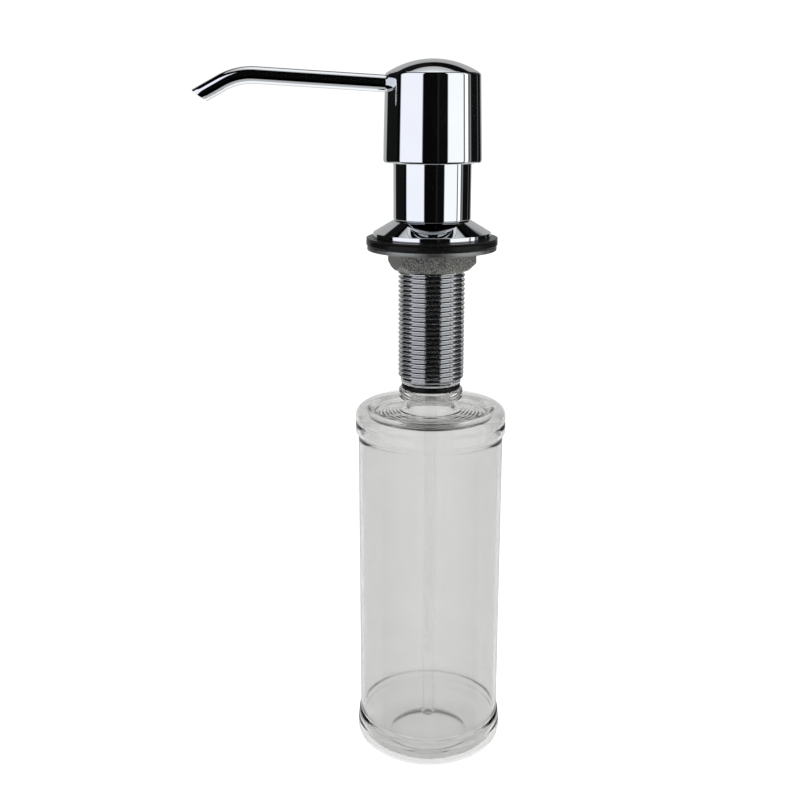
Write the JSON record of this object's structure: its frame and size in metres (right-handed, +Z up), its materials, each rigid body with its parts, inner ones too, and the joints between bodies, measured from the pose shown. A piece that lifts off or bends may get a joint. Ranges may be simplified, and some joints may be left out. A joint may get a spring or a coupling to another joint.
{
  "type": "deck mounted soap dispenser",
  "caption": "Press-head liquid soap dispenser clamped through a sink deck, with a bent swivel spout, a lift-out pump and a clear bottle that screws on below.",
  "frame": {"origin": "on the shank's axis at the deck's upper face, which is the underside of the upper gasket", "axes": "+Z up along the shank and bottle, spout towards -X, X-Z is the plane of symmetry at rest"},
  "size_m": [0.1183, 0.0594, 0.2769],
  "materials": {
    "chromed_head": "polished chrome plate",
    "chromed_spout": "polished chrome plate",
    "chromed_collar": "polished chrome plate",
    "chromed_shank": "thin bright plate over a cut thread",
    "white_moulding": "natural moulded acetal",
    "dark_moulding": "black moulded plastic",
    "seal_rubber": "smooth black nitrile",
    "gasket_rubber": "moulded black rubber",
    "valve_steel": "polished steel ball",
    "spring_steel": "drawn stainless wire",
    "clamp_steel": "dull stamped steel",
    "cast_nut": "blasted cast metal, fine grain",
    "clear_tube": "clear extruded polyethylene",
    "clear_bottle": "clear blown PET"
  },
  "bodies": {
    "base": {"collar_sleeve": "chromed_collar", "deck_flange": "chromed_collar", "threaded_shank": "chromed_shank", "deck_gasket": "gasket_rubber"},
    "pump": {"pump_cap": "dark_moulding", "pump_guide": "white_moulding", "cap_gasket": "seal_rubber", "pump_cylinder": "white_moulding", "return_spring": "spring_steel", "dip_tube": "clear_tube"},
    "plunger": {"pump_stem": "white_moulding", "piston": "white_moulding"},
    "head": {"head_shell": "chromed_head", "head_core": "white_moulding", "spout_tube": "chromed_spout", "spout_seal": "seal_rubber"},
    "outlet_valve": {"outlet_ball": "valve_steel"},
    "inlet_valve": {"inlet_ball": "valve_steel"},
    "washers": {"lower_washer": "gasket_rubber", "clamp_washer": "clamp_steel"},
    "nut": {"mounting_nut": "cast_nut"},
    "seal": {"bottle_seal": "seal_rubber"},
    "bottle": {"bottle": "clear_bottle"}
  },
  "joints": [
    {"name": "pump_lift", "type": "slide", "parent": "base", "child": "pump", "axis": [0, 0, 1], "range_m": [0, 0.25]},
    {"name": "head_press", "type": "slide", "parent": "pump", "child": "plunger", "axis": [0, 0, 1], "range_m": [-0.014, 0], "stiffness_N_per_m": 450, "springref_m": 0.012, "deforming": ["return_spring"]},
    {"name": "head_swivel", "type": "hinge", "parent": "plunger", "child": "head", "pos_m": [0, 0, 0.05], "axis": [0, 0, 1], "continuous": true},
    {"name": "outlet_ball_lift", "type": "slide", "parent": "plunger", "child": "outlet_valve", "axis": [0, 0, 1], "range_m": [0, 0.001]},
    {"name": "inlet_ball_lift", "type": "slide", "parent": "pump", "child": "inlet_valve", "axis": [0, 0, 1], "range_m": [0, 0.0012]},
    {"name": "clamp_drop", "type": "slide", "parent": "base", "child": "washers", "axis": [0, 0, 1], "range_m": [-0.0299, 0]},
    {"name": "nut_turn", "type": "hinge", "parent": "washers", "child": "nut", "pos_m": [0, 0, -0.0075], "axis": [0, 0, 1], "range_deg": [-5940, 0]},
    {"name": "bottle_drop", "type": "slide", "parent": "base", "child": "seal", "axis": [0, 0, 1], "range_m": [-0.01199, 0]},
    {"name": "bottle_turn", "type": "hinge", "parent": "seal", "child": "bottle", "pos_m": [0, 0, -0.06], "axis": [0, 0, 1], "range_deg": [-1440, 0]}
  ],
  "couplings": [
    {"joint": "nut_turn", "follows": "clamp_drop", "rad_per_m": 3463.7},
    {"joint": "bottle_turn", "follows": "bottle_drop", "rad_per_m": 2094.4}
  ]
}
